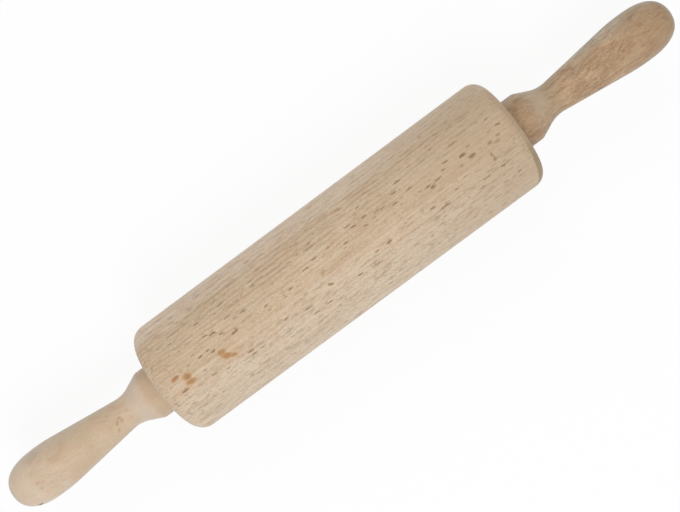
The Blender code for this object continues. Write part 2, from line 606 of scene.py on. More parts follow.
@dataclass(frozen=True)
class BeechFinish:
    """Bare sanded beech, as a volume of rings, threads and rays about the tree's heart.

    light and dark are the two ends of its tone, and fleck is the colour of rays and vessels. Four
    tints multiply it: flush in patches; a tone on the side away from the heart, over a span counted
    from the heart's distance, which is younger wood and on the barrel also painted sheen; a painted
    sheen, a pale cool cast, over a span of places towards +Y, where calm of the rings goes too; and
    end_grain where the surface faces along the pin. bands lie under the flecks, veils over them.
    fray is how far the edges of the marks stray, in millimetres along the pin and radians round it.
    """

    name: str
    trunk: Trunk
    grain: Grain
    light: Colour
    dark: Colour
    fleck: Colour
    rays: tuple[Rays, ...]
    painted_sheen: Colour
    painted_sheen_span: Point = (0.0060, 0.0115)
    calm: float = 0.5
    flush: Colour = (1.03, 0.95, 0.93)
    flush_share: float = 0.5
    flush_cut: Point = (0.42, 0.66)
    sap_and_sheen: Colour = WHITE
    sap_and_sheen_span: Point = (0.004, 0.018)
    end_grain: Colour = (0.86, 0.84, 0.78)
    end_span: Point = (0.35, 0.95)
    bands: tuple[Band, ...] = ()
    veils: tuple[Band, ...] = ()
    cuts: tuple[EndCutShade, ...] = ()
    marks: tuple[Mark, ...] = ()
    fray: Point = (2.4, 0.036)
    fray_scale: Triple = (800.0, 1400.0, 1400.0)
    roughness: float = 0.62
    specular: float = 0.4
    sheen: float = 0.30
    sheen_roughness: float = 0.45
    sheen_tint: Colour = (0.62, 0.86, 1.0)
    relief_depth: float = 0.00005

    def marked(
        self, bench: Bench, point: object, place: Place, fibres: Term, colour: object
    ) -> object:
        """Lay the single marks on the wood, with ragged edges.

        Args:
            bench: The bench to build on.
            point: The place on the piece, as a vector.
            place: The same, as its three numbers.
            fibres: The finest streaks, which show through them.
            colour: The colour of the wood so far.

        Returns:
            The colour with the marks.
        """
        frayed = bench.vector("MULTIPLY", point, self.fray_scale)
        inputs = {"Vector": frayed, "Scale": 1.0, "Detail": 2.0}
        ragged = bench.node("ShaderNodeTexNoise", inputs).outputs["Color"]
        split = bench.parts(ragged)
        along = place[0] * MM_PER_METRE + (split[0] - 0.5) * self.fray[0]
        turn = bench.maths("ARCTAN2", place[1] * -1.0, place[2]) + (split[1] - 0.5) * self.fray[1]
        for tint in Tint:
            shapes = [mark.shape(along, turn) for mark in self.marks if mark.tint is tint]
            if shapes:
                cover = functools.reduce(Term.most, shapes)
                colour = bench.mix(cover * (0.65 + fibres * 0.5), colour, tint.value)
        return colour

    def material(self) -> bpy.types.Material:
        """Build the wood.

        Returns:
            The finished material.
        """
        material, bench = new_material(self.name)
        coordinates = bench.node("ShaderNodeTexCoord").outputs
        point = coordinates["Object"]
        place = bench.parts(point)
        out, flat, wood = self.trunk.locate(bench, point, place)
        grain, heart = self.grain, self.trunk.heart[0]

        # The tone of the grain, 0.5 in the middle. Between the rings it is lighter than that.
        threads = bench.noise(wood, grain.thread_scale, 3.0, 0.6)
        blotches = bench.noise(wood, grain.blotch_scale, 3.0, 0.55)
        fibres = bench.noise(wood, grain.fibre_scale, 2.0, 0.7)
        # The side towards +Y gets a painted sheen, a pale cool cast, and calmer rings.
        painted_sheen = place[1].rise(*self.painted_sheen_span)
        rings = grain.rings(bench, wood, out, heart) * (1.0 - painted_sheen * self.calm) - 0.2
        tone = 0.5 + (threads - 0.5) * grain.thread * 2.0 + (blotches - 0.5) * grain.blotch * 2.0
        tone = tone + rings * grain.ring + (fibres - 0.5) * grain.fibre
        colour = bench.mix(tone.rise(0.0, 1.0), self.light, self.dark)

        # The tints. The patches are half as large as the blotches.
        patches = bench.noise(wood, tuple(scale * 2.0 for scale in grain.blotch_scale))
        outward = abs(bench.parts(coordinates["Normal"])[0])
        tints = (
            (patches.rise(*self.flush_cut) * self.flush_share, self.flush),
            # Away from the heart: younger wood, and on the barrel also painted sheen.
            (out.rise(*(heart + reach for reach in self.sap_and_sheen_span)), self.sap_and_sheen),
            # Painted sheen towards +Y.
            (painted_sheen, self.painted_sheen),
            (outward.rise(*self.end_span), self.end_grain),
        )
        for share, tint in tints:
            colour = bench.mix(share, colour, tint, "MULTIPLY")
        for band in self.bands:
            colour = bench.mix(band.share(place), colour, band.colour)
        for cut in self.cuts:
            colour = cut.tint(bench, place, blotches, colour)

        # What lies on top of the tone.
        vessels = grain.vessels(bench, wood, flat)
        colour = bench.mix(vessels * grain.dash, colour, self.fleck)
        flecks = functools.reduce(Term.most, [rays.flecks(bench, wood) for rays in self.rays])
        colour = bench.mix(flecks, colour, self.fleck)
        for veil in self.veils:
            colour = bench.mix(veil.share(place), colour, veil.colour)
        colour = self.marked(bench, point, place, fibres, colour)

        # Threads and fibres stand a little proud, and are duller. Rays and vessels lie deeper.
        relief = threads * 0.2 + fibres * 0.25 - flecks * 0.5 - vessels * 0.2 + 0.6
        dull = (threads - 0.5) * 0.12
        inputs = {
            "Base Color": colour,
            "Roughness": self.roughness + dull + (fibres - 0.5) * 0.10 + flecks * 0.06,
            "Specular IOR Level": self.specular,
            "Sheen Weight": self.sheen,
            "Sheen Roughness": self.sheen_roughness,
            "Sheen Tint": self.sheen_tint,
        }
        finish_surface(bench, inputs, relief, self.relief_depth)
        return material


# The metals and the nylon of the running gear


@dataclass(frozen=True)
class DrawnSteelFinish:
    """Bright drawn steel: fine lines along the rod, with a little dulling between them."""

    name: str = "drawn_steel"
    bright: Colour = (0.60, 0.60, 0.61)
    dull: Colour = (0.47, 0.47, 0.48)
    line_scale: Triple = (30.0, 5200.0, 5200.0)
    bloom_scale: Triple = (90.0, 260.0, 260.0)
    roughness: float = 0.22
    relief_depth: float = 0.000012

    def material(self) -> bpy.types.Material:
        """Build the steel and return its material."""
        material, bench = new_material(self.name)
        place = bench.node("ShaderNodeTexCoord").outputs["Object"]
        lines = bench.noise(place, self.line_scale)
        bloom = bench.noise(place, self.bloom_scale, 3.0)
        dulled = (lines * 0.6 + bloom * 0.4).rise(0.3, 0.7)
        inputs = {
            "Base Color": bench.mix(dulled, self.bright, self.dull),
            "Metallic": 1.0,
            "Roughness": self.roughness + lines * 0.14 + bloom * 0.10,
        }
        finish_surface(bench, inputs, lines, self.relief_depth)
        return material


@dataclass(frozen=True)
class ZincFinish:
    """Zinc plate on stamped washers: faint crystals under a fine haze."""

    name: str = "zinc_plate"
    light: Colour = (0.66, 0.67, 0.69)
    grey: Colour = (0.54, 0.56, 0.59)
    crystal_scale: float = 900.0
    haze_scale: Triple = (400.0, 400.0, 400.0)
    roughness: float = 0.30
    relief_depth: float = 0.000015

    def material(self) -> bpy.types.Material:
        """Build the plating and return its material."""
        material, bench = new_material(self.name)
        place = bench.node("ShaderNodeTexCoord").outputs["Object"]
        inputs = {"Vector": place, "Scale": self.crystal_scale}
        cells = bench.node("ShaderNodeTexVoronoi", inputs).outputs
        crystal = bench.number("ShaderNodeSeparateColor", {"Color": cells["Color"]})
        haze = bench.noise(place, self.haze_scale, 3.0)
        greyed = (crystal * 0.5 + haze * 0.5).rise(0.2, 0.8)
        inputs = {
            "Base Color": bench.mix(greyed, self.light, self.grey),
            "Metallic": 1.0,
            "Roughness": self.roughness + crystal * 0.10 + haze * 0.10,
        }
        finish_surface(bench, inputs, haze, self.relief_depth)
        return material


@dataclass(frozen=True)
class NylonFinish:
    """Moulded nylon: a satin skin, clouded where the melt flowed."""

    name: str = "moulded_nylon"
    white: Colour = (0.82, 0.81, 0.77)
    cloud: Colour = (0.76, 0.745, 0.70)
    flow_scale: Triple = (140.0, 260.0, 260.0)
    skin_scale: Triple = (3200.0, 3200.0, 3200.0)
    roughness: float = 0.40
    relief_depth: float = 0.00002

    def material(self) -> bpy.types.Material:
        """Build the nylon and return its material."""
        material, bench = new_material(self.name)
        place = bench.node("ShaderNodeTexCoord").outputs["Object"]
        flow = bench.noise(place, self.flow_scale, 3.0)
        skin = bench.noise(place, self.skin_scale, 1.0)
        inputs = {
            "Base Color": bench.mix(flow.rise(0.3, 0.7), self.white, self.cloud),
            "Roughness": self.roughness + flow * 0.08 + skin * 0.06,
        }
        finish_surface(bench, inputs, skin, self.relief_depth)
        return material


# Turning: the outlines and the lathe that spins them

ARC_STEP_DEGREES = 3
LEAST_ARC_STEPS = 4
ROOM_BESIDE_ROUNDED = 0.45
ROOM_BESIDE_SQUARE = 0.9


@dataclass(frozen=True)
class Corner:
    """A corner of an outline: its place along the pin, its radius and how far it is rounded."""

    along: float
    radius: float
    rounding: float = 0.0


def round_corner(
    before: Vector, corner: Vector, after: Vector, radius: float, room: Point
) -> list[Vector]:
    """Draw the arc that rounds one corner.

    Args:
        before: The corner before it.
        corner: The corner itself.
        after: The corner after it.
        radius: The arc's radius.
        room: The share of each side that the arc may take.

    Returns:
        Points of the arc, or the corner where radius is 0.
    """
    if radius == 0.0:
        return [corner]
    back, on = before - corner, after - corner
    turned = math.pi - back.angle(on)
    tangent = min(radius * math.tan(turned / 2), room[0] * back.length, room[1] * on.length)
    inward = (back.normalized() + on.normalized()).normalized()
    centre = corner + inward * tangent / math.sin(turned / 2)
    spoke = corner + back.normalized() * tangent - centre
    sweep = math.copysign(turned, on.cross(back))
    count = max(LEAST_ARC_STEPS, math.ceil(math.degrees(turned) / ARC_STEP_DEGREES))
    return [centre + Matrix.Rotation(sweep * i / count, 2) @ spoke for i in range(count + 1)]


def draw_outline(corners: Sequence[Corner], closed: bool) -> list[Point]:
    """Draw an outline with its corners rounded.

    Args:
        corners: The corners, in order.
        closed: Whether the last corner joins the first.

    Returns:
        The outline's points, as place along the pin and radius.
    """
    places = [Vector((corner.along, corner.radius)) for corner in corners]
    rooms = [ROOM_BESIDE_ROUNDED if corner.rounding else ROOM_BESIDE_SQUARE for corner in corners]
    count = len(corners)
    points: list[Vector] = []
    for i, place in enumerate(places):
        if not closed and i in (0, count - 1):
            points.append(place)
            continue
        after = (i + 1) % count
        room = (rooms[i - 1], rooms[after])
        points += round_corner(places[i - 1], place, places[after], corners[i].rounding, room)
    return [(point.x, point.y) for point in points]


class Lathe:
    """The Geometry Nodes tree that spins an outline about the pin's axis and sands it.

    SEAM is how near two points lie that become one, in metres. SANDING_SCALE is how many hollows
    the sanding leaves to a metre. An edge sharper than SHARP_EDGE isn't shaded smooth.
    """

    SEAM = 0.000002
    SANDING_SCALE = 90.0
    SHARP_EDGE = math.radians(30)
    SOCKETS = {
        "Outline": "NodeSocketGeometry",
        "Rows": "NodeSocketInt",
        "Facets": "NodeSocketInt",
        "Sanding Depth": "NodeSocketFloat",
        "Sanding Scale": "NodeSocketFloat",
        "Seed": "NodeSocketFloat",
        "Wood": "NodeSocketMaterial",
    }

    def __init__(self) -> None:
        """Build the tree: spin, sand, shade, realize and dress."""
        self.tree = bpy.data.node_groups.new("turned_skin", "GeometryNodeTree")
        self.inputs: dict[str, str] = {}
        for name, kind in self.SOCKETS.items():
            made = self.tree.interface.new_socket(name, in_out="INPUT", socket_type=kind)
            self.inputs[name] = made.identifier
        self.tree.interface.new_socket("Skin", in_out="OUTPUT", socket_type="NodeSocketGeometry")
        self.bench = Bench(self.tree)
        self.given = self.bench.node("NodeGroupInput").outputs
        self.position = self.bench.node("GeometryNodeInputPosition").outputs[0]

        sanded = {"Geometry": self.sand(self.spin())}
        smooth = {"Geometry": self.bench.node("GeometryNodeSetShadeSmooth", sanded)}
        real = self.bench.node("GeometryNodeRealizeInstances", smooth)
        inputs = {"Geometry": real, "Material": self.given["Wood"]}
        dressed = self.bench.node("GeometryNodeSetMaterial", inputs)
        self.bench.node("NodeGroupOutput", {"Skin": dressed})

    def spin(self) -> bpy.types.Node:
        """Spin the outline: rows of a grid follow it, and the grid's columns go round the axis.

        Returns:
            The node that gives the closed skin.
        """
        bench, given = self.bench, self.given
        outline = {"Geometry": given["Outline"]}
        size = bench.node("GeometryNodeAttributeDomainSize", outline, component="MESH")
        points = Term(bench, size.outputs["Point Count"])
        facets = Term(bench, given["Facets"])
        columns = facets + 1.0
        inputs = {"Vertices X": given["Rows"], "Vertices Y": columns}
        grid = bench.node("GeometryNodeMeshGrid", inputs)
        number = bench.number("GeometryNodeInputIndex")
        row = math.floor(number / columns)
        column = number - row * columns
        inputs = {**outline, "Value": self.position, "Index": row % points}
        settings = {"data_type": "FLOAT_VECTOR", "domain": "POINT"}
        sample = bench.node("GeometryNodeSampleIndex", inputs, **settings)
        along, radius, _ = bench.parts(sample)
        turn = column / facets * math.tau
        side, up = radius * bench.maths("COSINE", turn), radius * bench.maths("SINE", turn)
        spun = bench.node("ShaderNodeCombineXYZ", {"X": along, "Y": side, "Z": up})
        placed = bench.node("GeometryNodeSetPosition", {"Geometry": grid, "Position": spun})
        inputs = {"Geometry": placed, "Distance": self.SEAM}
        return bench.node("GeometryNodeMergeByDistance", inputs)

    def sand(self, skin: bpy.types.Node) -> bpy.types.Node:
        """Sand the skin: take it down by soft uneven hollows.

        Args:
            skin: The node that gives the skin.

        Returns:
            The node that gives the sanded skin.
        """
        bench, given = self.bench, self.given
        inputs = {
            "Vector": self.position,
            "W": given["Seed"],
            "Scale": given["Sanding Scale"],
            "Detail": 1.0,
        }
        waves = bench.number("ShaderNodeTexNoise", inputs, noise_dimensions="4D")
        depth = waves * Term(bench, given["Sanding Depth"]) * -1.0
        inputs = {"Vector": bench.node("GeometryNodeInputNormal"), "Scale": depth}
        offset = bench.node("ShaderNodeVectorMath", inputs, operation="SCALE")
        return bench.node("GeometryNodeSetPosition", {"Geometry": skin, "Offset": offset})

    def turn(
        self,
        name: str,
        outline: Sequence[Point],
        closed: bool,
        facets: int,
        wood: bpy.types.Material,
        sanding: float = 0.0,
        seed: float = 0.0,
    ) -> bpy.types.Object:
        """Turn one piece.

        Args:
            name: The piece's name.
            outline: Its points, as place along the pin and radius. The outer side runs towards -X.
            closed: Whether the outline is a ring, for a piece with a bore right through.
            facets: How many facets go round.
            wood: Its material.
            sanding: How deep the hand sanding goes, in metres.
            seed: Which sanding it gets.

        Returns:
            The piece, a plain mesh at the origin.
        """
        drawing = bpy.data.meshes.new(name + "_outline")
        edges = [(i, i + 1) for i in range(len(outline) - 1)]
        drawing.from_pydata([(along, radius, 0.0) for along, radius in outline], edges, [])
        piece = bpy.data.objects.new(name, drawing)
        bpy.context.scene.collection.objects.link(piece)
        turning = piece.modifiers.new("turned", "NODES")
        turning.node_group = self.tree
        values = {
            "Rows": len(outline) + (1 if closed else 0),
            "Facets": facets,
            "Sanding Depth": sanding,
            "Sanding Scale": self.SANDING_SCALE,
            "Seed": seed,
            "Wood": wood,
        }
        for socket, value in values.items():
            turning[self.inputs[socket]] = value
        graph = bpy.context.evaluated_depsgraph_get()
        skin = bpy.data.meshes.new_from_object(piece.evaluated_get(graph))
        piece.modifiers.clear()
        piece.data = skin
        bpy.data.meshes.remove(drawing)
        skin.name = name
        skin.set_sharp_from_angle(angle=self.SHARP_EDGE)
        return piece


# The single marks of each piece

# A row is a place along the pin and round it, a length and a width, and, where they aren't the
# usual ones, a tilt, a strength and the radius of the piece there.
Rows = tuple[tuple[float, ...], ...]

AMBER_SPOTS: Rows = (
    (-94.5, 1.5, 4.4, 2.4, 10.0),
    (-89.1, 6.3, 4.6, 3.8),
    (-88.9, 12.0, 5.3, 2.4, -8.0),
    (-69.2, 7.3, 4.6, 3.2, 0.0, 0.9),
    (-68.1, 12.4, 5.4, 3.2, -18.0),
    (-65.3, 15.3, 4.2, 2.0, -22.0, 0.9),
    (0.0, 4.4, 330.0, 5.4, 0.0, 0.09),
    (-8.9, 3.6, 3.4, 2.2, 35.0, 0.6),
    (-12.1, 10.3, 2.8, 2.2, 0.0, 0.3),
    (24.6, 3.7, 3.6, 2.4, 0.0, 0.3),
    (-21.2, 9.8, 2.8, 2.0, 0.0, 0.45),
    (45.5, 12.8, 2.4, 2.8, 0.0, 0.4),
)

RUSSET_FLECKS: Rows = (
    (-58.5, -0.7, 5.0, 1.6, 6.0),
    (-93.8, 15.7, 5.0, 1.4),
    (-9.0, 16.2, 3.4, 1.8, -30.0, 0.9),
    (17.9, 17.1, 3.4, 1.1, -8.0, 0.75),
    (13.8, 27.5, 8.0, 1.5, -3.0, 0.65),
    (56.2, 0.4, 3.2, 1.9),
    (79.3, -1.2, 4.8, 2.0),
    (72.6, 0.5, 2.6, 1.6, 0.0, 0.55),
    (86.9, 8.2, 1.4, 2.6, 0.0, 0.75),
    (86.9, 12.8, 1.7, 2.8, 0.0, 0.85),
    (55.7, 21.3, 6.4, 1.1),
    (75.0, 28.6, 4.4, 1.2, 0.0, 0.7),
    (37.4, -7.6, 4.0, 1.1, 0.0, 0.9),
    (75.6, -6.5, 4.6, 1.7, 4.0),
    (70.0, 22.2, 104.0, 0.6, 0.0, 0.5),
)

UMBER_FLECKS: Rows = (
    (-67.4, -11.4, 4.4, 1.1),
    (-49.8, -11.3, 4.8, 0.95, 0.0, 0.85),
    (-54.7, -11.1, 3.2, 0.85, 0.0, 0.7),
    (-39.4, -2.8, 3.4, 1.0, 8.0, 0.7),
    (-78.5, -1.0, 3.2, 1.0),
    (-74.1, -1.6, 2.8, 0.85, 0.0, 0.85),
    (-71.9, 1.8, 3.2, 0.95, 6.0, 0.85),
    (-78.3, 19.6, 3.4, 1.0, -8.0, 0.7),
    (-57.7, 22.3, 4.8, 1.0, -4.0),
    (-57.5, -15.6, 4.4, 0.85, 4.0, 0.7),
    (-39.4, -26.2, 3.6, 0.95, 0.0, 0.6),
    (-25.3, -2.0, 3.4, 1.2, 0.0, 0.75),
    (-14.4, -8.2, 4.6, 1.1, 0.0, 0.85),
    (-8.9, -11.3, 2.8, 0.95, 6.0, 0.7),
    (-19.2, -22.6, 3.0, 0.85, 0.0, 0.7),
    (-7.2, -22.3, 7.8, 0.75, 0.0, 0.75),
    (-12.1, -34.1, 6.2, 0.75, 0.0, 0.6),
    (-24.3, 22.1, 5.8, 1.0, 0.0, 0.9),
    (-22.4, 30.7, 4.2, 0.95, 0.0, 0.85),
    (-14.7, 30.0, 4.0, 0.85, 0.0, 0.7),
    (24.6, 17.1, 3.6, 1.5, 8.0, 0.9),
    (4.7, 25.8, 5.0, 0.95, -3.0, 0.9),
    (13.3, -17.0, 4.6, 1.0, 0.0, 0.85),
    (20.6, -7.2, 3.6, 0.95, -10.0, 0.75),
    (31.5, -11.4, 3.4, 1.0, 0.0, 0.7),
    (27.9, -12.0, 4.0, 0.85, 0.0, 0.7),
    (44.1, -22.9, 5.4, 1.1, 0.0, 0.9),
    (39.7, -16.3, 4.0, 1.0, 0.0, 0.85),
    (46.6, -11.1, 4.6, 1.0, 0.0, 0.85),
    (67.5, -11.0, 3.8, 1.1),
    (64.6, -6.2, 2.8, 1.0, 0.0, 0.85),
    (54.1, -2.1, 3.6, 1.0),
    (59.6, -2.4, 3.6, 0.95, 0.0, 0.85),
    (75.6, -6.5, 4.0, 1.2, 4.0),
    (89.4, -1.2, 3.4, 1.4, 4.0, 0.85),
    (94.6, -2.3, 3.0, 1.1, 0.0, 0.75),
    (97.2, -10.3, 3.6, 0.95, -6.0),
    (75.2, -20.9, 6.6, 0.85, 0.0, 0.75),
    (79.0, 23.1, 5.4, 0.85, -3.0, 0.7),
    (88.8, 22.8, 4.2, 1.0),
    (-101.3, -17.4, 4.4, 0.6, 40.0, 0.5),
    (-100.0, 36.6, 4.6, 0.7, -35.0, 0.65),
)

LEFT_HANDLE_FLECKS: Rows = (
    (-132.9, -1.0, 2.8, 2.0, 0.0, 0.32, 0.009),
    (-132.3, 11.0, 1.8, 3.2, 0.0, 0.38, 0.009),
    (-134.7, 9.0, 3.6, 1.4, 54.0, 0.44, 0.009),
    (-136.3, 32.0, 3.4, 1.7, 54.0, 0.36, 0.009),
    (-138.9, 7.0, 1.6, 2.6, 0.0, 0.22, 0.009),
    (-140.2, -22.0, 8.0, 1.2, -22.0, 0.20, 0.010),
    (-137.3, -27.0, 3.6, 1.4, -10.0, 0.18, 0.009),
    (-127.4, -8.0, 2.4, 1.6, 0.0, 0.20, 0.0082),
    (-182.7, 8.0, 2.2, 2.0, 0.0, 0.26, 0.0128),
    (-182.7, 21.6, 2.2, 2.0, 0.0, 0.30, 0.0128),
)

RIGHT_HANDLE_FLECKS: Rows = (
    (114.3, -44.0, 5.0, 4.0, 0.0, 0.55, 0.0134),
    (110.4, -28.0, 4.4, 3.4, 0.0, 0.55, 0.0134),
    (112.6, 43.0, 8.0, 3.6, 0.0, 0.50, 0.0134),
)


# The pin: barrel, handles and running gear


@dataclass(frozen=True)
class Barrel:
    """The turned barrel, with a stepped seat for a bush at each end."""

    edge_round: float = 0.0075
    bore_radius: float = 0.0055
    seat_radius: float = 0.0068
    seat_depth: float = 0.0193
    flange_radius: float = 0.0113
    flange_depth: float = 0.0033
    facets: int = 192

    @staticmethod
    def finish() -> BeechFinish:
        """The barrel's beech, near quarter-sawn on top, with its amber spots and dark flecks."""
        # The right end's rim: tan on top, painted shade at the front, and a dark line.
        shaded_end_cut = EndCutShade(
            end=End.RIGHT,
            start=0.0982,
            skew=0.17,
            top=(0.47, 0.33, 0.19),
            front=(0.30, 0.198, 0.080),
            share=0.8,
            rim=0.15,
        )
        return BeechFinish(
            name="barrel_beech",
            trunk=Trunk(heart=(0.112, 0.0165), lean=0.004, ripple=0.0007),
            grain=Grain(thread=0.42, blotch=0.28, dash=0.40, fibre=1.5, ring=0.28),
            light=(0.645, 0.498, 0.343),
            dark=(0.476, 0.345, 0.217),
            fleck=(0.27, 0.17, 0.088),
            rays=(
                Rays((0.0072, 0.0019, 0.0022), (0.0019, 0.00031, 0.0006), 0.90, 0.32, 3.7),
                Rays((0.0046, 0.0013, 0.0015), (0.0012, 0.00023, 0.0004), 0.60, 0.25, 11.2),
            ),
            # A painted sheen, pale and cool, on the barrel's +Y side.
            painted_sheen=(1.11, 1.16, 1.27),
            painted_sheen_span=(0.0185, 0.0240),
            # Paler and bluer towards -Y, where the key softbox falls: partly younger wood, partly
            # painted sheen.
            sap_and_sheen=(1.05, 1.10, 1.18),
            end_grain=(0.80, 0.74, 0.62),
            end_span=(0.88, 0.995),
            # The barrel's right half darker and yellower: partly a darker tone, partly painted
            # shade where the light falls off towards that end.
            bands=(Band(0.055, 0.135, 0.045, (0.46, 0.335, 0.21), 0.60),),
            cuts=(shaded_end_cut,),
            marks=(
                Mark(Tint.HAZE, -89.0, 9.5, 9.0, 8.0, strength=0.6),
                Mark(Tint.HAZE, -66.0, 10.5, 13.0, 9.0, strength=0.55),
                # A pale line along the whole barrel, a little to the front of its top: a painted
                # highlight.
                Mark(Tint.PALE, -35.0, 8.9, 300.0, 1.45, strength=0.32),
                *(Mark(Tint.AMBER, *row, edge=(1.6, 0.05)) for row in AMBER_SPOTS),
                *(Mark(Tint.RUSSET, *row) for row in RUSSET_FLECKS),
                *(Mark(Tint.UMBER, *row) for row in UMBER_FLECKS),
            ),
            sheen=0.11,
        )

    def build(self, lathe: Lathe) -> bpy.types.Object:
        """Turn and dress the barrel.

        Args:
            lathe: The lathe.

        Returns:
            The barrel.
        """
        low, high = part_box("barrel")
        half, radius = (high.x - low.x) / 2, high.z
        top = [
            Corner(half - self.seat_depth, self.bore_radius),
            Corner(half - self.seat_depth, self.seat_radius),
            Corner(half - self.flange_depth, self.seat_radius),
            Corner(half - self.flange_depth, self.flange_radius),
            Corner(half, self.flange_radius),
            Corner(half, radius, self.edge_round),
        ]
        bottom = [Corner(-corner.along, corner.radius, corner.rounding) for corner in reversed(top)]
        outline = draw_outline(top + bottom, closed=True)
        piece = lathe.turn("barrel_wood", outline, True, self.facets, self.finish().material())
        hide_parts("barrel")
        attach(piece, "barrel_set")
        return piece


@dataclass(frozen=True)
class Handle:
    """One turned handle: collar, cone, neck, tapering grip, swell and rounded butt."""

    end: End
    collar_radius: float = 0.0134
    collar_length: float = 0.0088
    cone_length: float = 0.0117
    neck_radius: float = 0.0080
    grip_length: float = 0.0461
    swell_radius: float = 0.0135
    swell_length: float = 0.0055
    butt_length: float = 0.0213
    butt_fullness: float = 2.6
    collar_edge_round: float = 0.0006
    shoulder_round: float = 0.0048
    neck_round: float = 0.0165
    swell_round: float = 0.082
    hole_radius: float = 0.0043
    hole_depth: float = 0.056
    drill_point: float = 0.002
    butt_steps: int = 40
    facets: int = 128
    sanding: float = 0.00012
    sanding_seed: float = 4.5

    def outline(self, face: float) -> list[Point]:
        """Draw the right handle.

        Args:
            face: The place of its collar's face along the pin.

        Returns:
            The outline, from the butt to the bottom of the hole.
        """
        cone_top = self.collar_length + self.cone_length
        grip_top = cone_top + self.grip_length
        swell_top = grip_top + self.swell_length
        butt = []
        for i in range(self.butt_steps):
            angle = math.pi / 2 * i / self.butt_steps
            radius = self.swell_radius * math.sin(angle) ** (2 / self.butt_fullness)
            reach = self.butt_length * math.cos(angle) ** (2 / self.butt_fullness)
            butt.append((face + swell_top + reach, radius))
        corners = [
            Corner(face + swell_top, self.swell_radius),
            Corner(face + grip_top, self.swell_radius, self.swell_round),
            Corner(face + cone_top, self.neck_radius, self.neck_round),
            Corner(face + self.collar_length, self.collar_radius, self.shoulder_round),
            Corner(face, self.collar_radius, self.collar_edge_round),
            Corner(face, self.hole_radius),
            Corner(face + self.hole_depth, self.hole_radius),
            Corner(face + self.hole_depth + self.drill_point, 0.0),
        ]
        return butt + draw_outline(corners, closed=False)

    @staticmethod
    def pale_finish() -> BeechFinish:
        """The left handle's beech, pale and even, with a few small flecks at the neck."""
        return BeechFinish(
            name="pale_beech",
            trunk=Trunk(heart=(0.060, -0.030), lean=-0.05, ripple=0.0009),
            grain=Grain(
                thread=0.14,
                blotch=0.60,
                dash=0.10,
                fibre=1.1,
                ring=0.06,
                thread_scale=(110.0, 420.0, 420.0),
                blotch_scale=(100.0, 150.0, 150.0),
            ),
            light=(0.640, 0.498, 0.354),
            dark=(0.505, 0.373, 0.241),
            fleck=(0.40, 0.27, 0.165),
            rays=(Rays((0.0060, 0.0018, 0.0022), (0.0012, 0.00030, 0.0007), 0.30, 0.55, 5.1),),
            # A painted sheen, a cool grey cast, on the left handle's +Y side.
            painted_sheen=(0.92, 0.98, 1.05),
            flush=(1.06, 0.94, 0.95),
            flush_share=0.8,
            bands=(
                Band(-0.2000, -0.1830, 0.0050, (0.67, 0.54, 0.40), 0.50),
                Band(-0.1680, -0.1330, 0.0060, (0.53, 0.395, 0.245), 0.38),
            ),
            veils=(
                Band(-0.1160, -0.1260, 0.0030, (0.61, 0.495, 0.380), 0.55),
                Band(-0.1150, -0.1000, 0.0022, (0.51, 0.365, 0.225), 0.50),
            ),
            marks=(
                Mark(Tint.HAZE, -135.5, 10.0, 13.0, 8.0, 0.0, 0.22, 0.009),
                *(Mark(Tint.RUSSET, *row) for row in LEFT_HANDLE_FLECKS),
                Mark(Tint.CHAR, -190.4, 66.0, 3.2, 2.8, 0.0, 1.0, 0.0119),
            ),
        )

    @staticmethod
    def red_finish() -> BeechFinish:
        """The right handle's beech, redder and streaked, with a greyed cone."""
        cone = Band(0.1168, 0.1258, 0.0030, (0.470, 0.368, 0.250), 0.70, 0.35, (-0.0110, 0.0010))
        return BeechFinish(
            name="red_beech",
            trunk=Trunk(heart=(0.050, 0.045), lean=0.06, ripple=0.0014),
            grain=Grain(
                thread=0.88,
                blotch=0.62,
                dash=0.45,
                fibre=1.5,
                ring=0.14,
                thread_scale=(125.0, 740.0, 740.0),
                blotch_scale=(70.0, 150.0, 150.0),
            ),
            light=(0.508, 0.356, 0.219),
            dark=(0.325, 0.208, 0.117),
            fleck=(0.205, 0.118, 0.060),
            rays=(
                Rays((0.0056, 0.0017, 0.0022), (0.0017, 0.00034, 0.0008), 0.60, 0.35, 7.9),
                Rays((0.0040, 0.0012, 0.0016), (0.0011, 0.00024, 0.0006), 0.45, 0.25, 1.3),
            ),
            # A painted sheen, pale and cool, on the right handle's +Y side.
            painted_sheen=(1.08, 1.29, 1.51),
            flush=(1.05, 0.91, 0.83),
            flush_share=0.6,
            sap_and_sheen=(1.0, 0.97, 0.91),
            sap_and_sheen_span=(0.0125, 0.0200),
            bands=(
                Band(0.1000, 0.1168, 0.0012, (0.405, 0.255, 0.143), 0.50),
                Band(0.1235, 0.1330, 0.0030, (0.380, 0.290, 0.180), 0.45),
                Band(0.1750, 0.2100, 0.0120, (0.36, 0.228, 0.120), 0.60),
            ),
            veils=(cone,),
            marks=tuple(Mark(Tint.RUSSET, *row) for row in RIGHT_HANDLE_FLECKS),
        )

    def build(self, lathe: Lathe) -> bpy.types.Object:
        """Turn and dress the handle.

        Args:
            lathe: The lathe.

        Returns:
            The handle.
        """
        side = self.end.name.lower()
        low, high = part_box(f"{side}_handle")
        face = low.x if self.end is End.RIGHT else -high.x
        outline = self.outline(face)
        if self.end is End.LEFT:
            outline = [(-along, radius) for along, radius in reversed(outline)]
        finish = self.pale_finish() if self.end is End.LEFT else self.red_finish()
        wood, seed = finish.material(), self.end.value * self.sanding_seed
        name = f"{side}_handle_wood"
        piece = lathe.turn(name, outline, False, self.facets, wood, self.sanding, seed)
        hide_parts(f"{side}_handle")
        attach(piece, "handle_set")
        return piece


